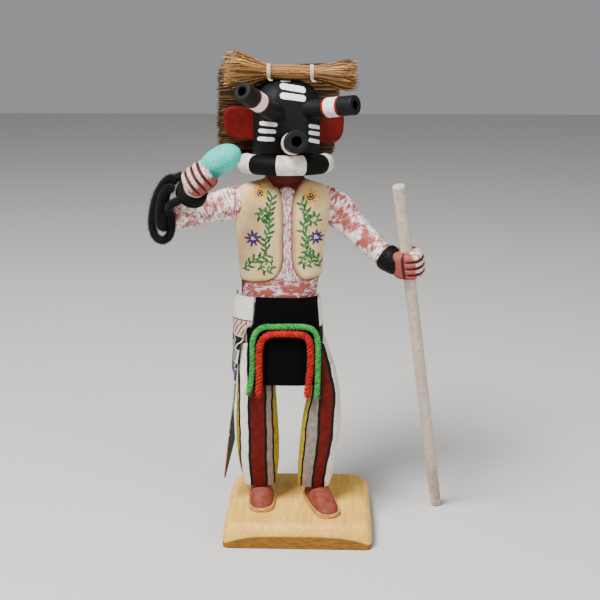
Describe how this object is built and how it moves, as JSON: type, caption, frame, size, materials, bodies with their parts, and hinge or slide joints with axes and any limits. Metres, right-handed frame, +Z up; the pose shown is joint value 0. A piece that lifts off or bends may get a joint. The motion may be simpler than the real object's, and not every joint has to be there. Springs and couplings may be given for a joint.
{
  "type": "carved dancer figure",
  "caption": "Carved and painted wooden figure of a masked dancer on a block base, holding a staff and a rattle, with straw hair, felt kilt and yarn trim.",
  "frame": {"origin": "centre of the base's underside", "axes": "+Z up along the figure, -Y the way the figure faces, +X to the figure's left hand"},
  "size_m": [0.1617, 0.0787, 0.2655],
  "materials": {
    "base_wood": "pale softwood, worn satin lacquer",
    "body_paint": "carved wood under matte brick-red, white and tan paint",
    "mask_paint": "carved wood under matte black paint with white bars",
    "tube_paint": "turned wood under matte black paint with white and red bands",
    "ruff_paint": "carved wood ring under white and black paint",
    "ear_paint": "thin wood plate under brick-red paint",
    "straw": "dried plant fibre, golden brown",
    "string": "cream cotton string",
    "staff_paint": "dowel under off-white paint",
    "rattle_paint": "carved wood under matte turquoise paint",
    "black_leather": "thin black leather, satin",
    "black_yarn": "fuzzy black wool yarn",
    "black_felt": "black craft felt",
    "green_yarn": "twisted green yarn",
    "red_yarn": "twisted red yarn",
    "sash_paint": "thin carved wood strip under white, red, black and green paint"
  },
  "bodies": {
    "root": {"base": "base_wood", "body": "body_paint", "head": "mask_paint", "ruff": "ruff_paint", "ear_right": "ear_paint", "ear_left": "ear_paint", "eye_tube_right": "tube_paint", "eye_tube_left": "tube_paint", "snout_tube": "tube_paint", "hair_back": "straw", "hair_bundle": "straw", "hair_tie_right": "string", "hair_tie_left": "string", "arm_right": "body_paint", "arm_left": "body_paint", "rattle": "rattle_paint", "wrist_wrap": "black_yarn", "yarn_loop_outer": "black_yarn", "yarn_loop_inner": "black_yarn", "bow_guard": "black_leather", "staff": "staff_paint", "kilt": "black_felt", "yarn_green": "green_yarn", "yarn_red": "red_yarn", "sash": "sash_paint"}
  },
  "joints": []
}
